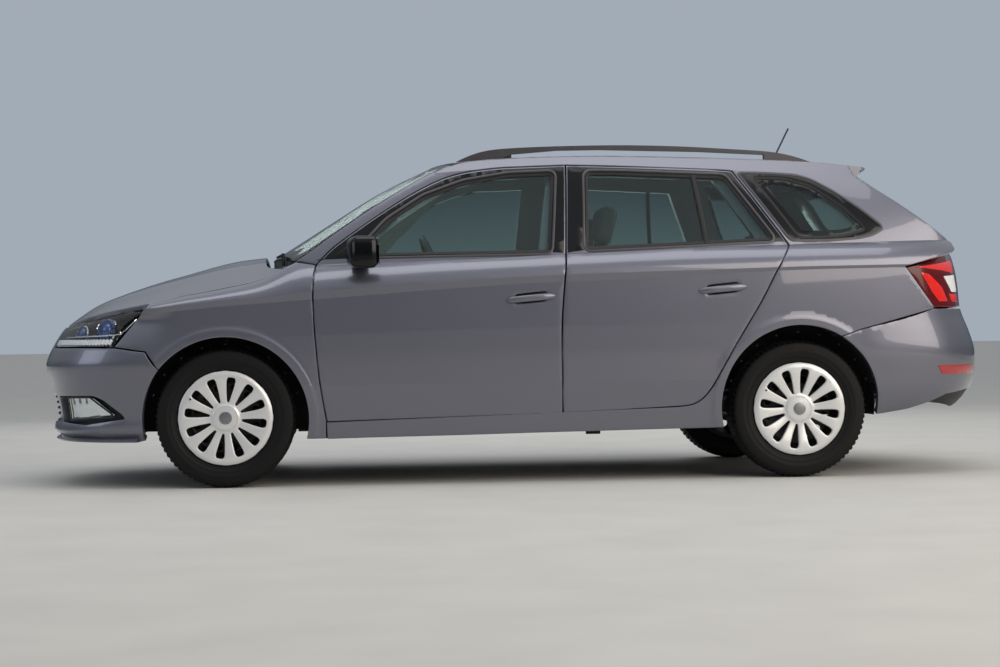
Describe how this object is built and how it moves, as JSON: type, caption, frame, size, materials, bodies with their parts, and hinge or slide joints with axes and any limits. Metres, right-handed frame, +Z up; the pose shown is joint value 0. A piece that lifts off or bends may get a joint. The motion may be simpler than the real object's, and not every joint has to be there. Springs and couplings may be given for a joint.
{
  "type": "estate car",
  "caption": "Compact estate car with a long roof on rails, steered front wheels, hinged side doors, a bonnet and a top-hinged tailgate.",
  "frame": {"origin": "on the ground under the centre of the car's bounding box", "axes": "+X towards the front, +Y towards the car's left side, +Z up"},
  "size_m": [4.2553, 1.95, 1.5978],
  "materials": {
    "body_paint": "metallic violet grey gloss",
    "dark_metal": "black underbody coating",
    "bare_steel": "bare cast metal",
    "black_plastic": "grained black",
    "gloss_black": "gloss black",
    "glazing": "green tinted",
    "lamp_clear": "clear polycarbonate",
    "lamp_red": "red lens",
    "tyre_rubber": "tread rubber",
    "wheel_steel": "black wheel enamel",
    "cover_silver": "silver lacquer",
    "seat_cloth": "woven grey cloth",
    "dash_plastic": "soft grain dark blue grey",
    "bare_alloy": "cast alloy",
    "zinc": "zinc plated"
  },
  "bodies": {
    "body": {"side_frame_left": "body_paint", "side_frame_right": "body_paint", "quarter_windows": "glazing", "windscreen": "glazing", "roof": "body_paint", "rear_bumper": "body_paint", "tail_lamps": "lamp_red", "front_wings": "body_paint", "front_bumper": "body_paint", "front_grilles": "black_plastic", "headlamps": "lamp_clear", "floor_pan": "dark_metal", "front_rails": "dark_metal", "cowl_panel": "black_plastic", "engine": "bare_alloy", "front_subframe": "dark_metal", "drive_shafts": "zinc", "rear_axle": "dark_metal", "exhaust": "zinc", "fuel_tank": "black_plastic", "wheel_arch_liners": "black_plastic", "front_seats": "seat_cloth", "rear_bench": "seat_cloth", "dashboard": "dash_plastic", "roof_rails": "gloss_black", "aerial": "black_plastic", "front_wipers": "black_plastic"},
    "front_left_door": {"front_door_left": "body_paint", "front_door_glass_left": "glazing", "door_mirror_left": "gloss_black"},
    "rear_left_door": {"rear_door_left": "body_paint", "rear_door_glass_left": "glazing"},
    "front_right_door": {"front_door_right": "body_paint", "front_door_glass_right": "glazing", "door_mirror_right": "gloss_black"},
    "rear_right_door": {"rear_door_right": "body_paint", "rear_door_glass_right": "glazing"},
    "bonnet_lid": {"bonnet": "body_paint"},
    "tailgate_lid": {"tailgate": "body_paint", "tailgate_glass": "glazing"},
    "left_knuckle": {"steering_knuckle_left": "bare_steel"},
    "right_knuckle": {"steering_knuckle_right": "bare_steel"},
    "front_left_wheel": {"front_left_tyre": "tyre_rubber", "front_left_rim": "wheel_steel", "front_left_wheel_cover": "cover_silver", "front_left_brake": "bare_steel"},
    "front_right_wheel": {"front_right_tyre": "tyre_rubber", "front_right_rim": "wheel_steel", "front_right_wheel_cover": "cover_silver", "front_right_brake": "bare_steel"},
    "rear_left_wheel": {"rear_left_tyre": "tyre_rubber", "rear_left_rim": "wheel_steel", "rear_left_wheel_cover": "cover_silver", "rear_left_brake": "bare_steel"},
    "rear_right_wheel": {"rear_right_tyre": "tyre_rubber", "rear_right_rim": "wheel_steel", "rear_right_wheel_cover": "cover_silver", "rear_right_brake": "bare_steel"},
    "steering": {"steering_wheel": "dash_plastic"}
  },
  "joints": [
    {"name": "front_left_wheel_spin", "type": "hinge", "parent": "left_knuckle", "child": "front_left_wheel", "pos_m": [1.291, 0.7315, 0.297], "axis": [0, 1, 0], "continuous": true},
    {"name": "front_right_wheel_spin", "type": "hinge", "parent": "right_knuckle", "child": "front_right_wheel", "pos_m": [1.291, -0.7315, 0.297], "axis": [0, 1, 0], "continuous": true},
    {"name": "rear_left_wheel_spin", "type": "hinge", "parent": "body", "child": "rear_left_wheel", "pos_m": [-1.179, 0.7285, 0.297], "axis": [0, 1, 0], "continuous": true},
    {"name": "rear_right_wheel_spin", "type": "hinge", "parent": "body", "child": "rear_right_wheel", "pos_m": [-1.179, -0.7285, 0.297], "axis": [0, 1, 0], "continuous": true},
    {"name": "steer_left", "type": "hinge", "parent": "body", "child": "left_knuckle", "pos_m": [1.291, 0.662, 0.204], "axis": [0, -0.1633, 0.9866], "range_deg": [-33, 33]},
    {"name": "steer_right", "type": "hinge", "parent": "body", "child": "right_knuckle", "pos_m": [1.291, -0.662, 0.204], "axis": [0, 0.1633, 0.9866], "range_deg": [-33, 33]},
    {"name": "steering_wheel_turn", "type": "hinge", "parent": "body", "child": "steering", "pos_m": [0.356, 0.355, 0.915], "axis": [-0.9135, 0, 0.4067], "range_deg": [-495, 495]},
    {"name": "front_left_door_swing", "type": "hinge", "parent": "body", "child": "front_left_door", "pos_m": [0.991, 0.839, 0.63], "axis": [0, 0, -1], "range_deg": [0, 62]},
    {"name": "front_right_door_swing", "type": "hinge", "parent": "body", "child": "front_right_door", "pos_m": [0.991, -0.839, 0.63], "axis": [0, 0, 1], "range_deg": [0, 62]},
    {"name": "rear_left_door_swing", "type": "hinge", "parent": "body", "child": "rear_left_door", "pos_m": [-0.065, 0.847, 0.6], "axis": [0, 0, -1], "range_deg": [0, 62]},
    {"name": "rear_right_door_swing", "type": "hinge", "parent": "body", "child": "rear_right_door", "pos_m": [-0.065, -0.847, 0.6], "axis": [0, 0, 1], "range_deg": [0, 62]},
    {"name": "bonnet_lift", "type": "hinge", "parent": "body", "child": "bonnet_lid", "pos_m": [1.006, 0, 0.925], "axis": [0, -1, 0], "range_deg": [0, 50]},
    {"name": "tailgate_lift", "type": "hinge", "parent": "body", "child": "tailgate_lid", "pos_m": [-1.349, 0, 1.384], "axis": [0, 1, 0], "range_deg": [0, 80]}
  ],
  "couplings": [
    {"joint": "steer_right", "follows": "steer_left", "ratio": 1},
    {"joint": "steering_wheel_turn", "follows": "steer_left", "ratio": 15}
  ]
}
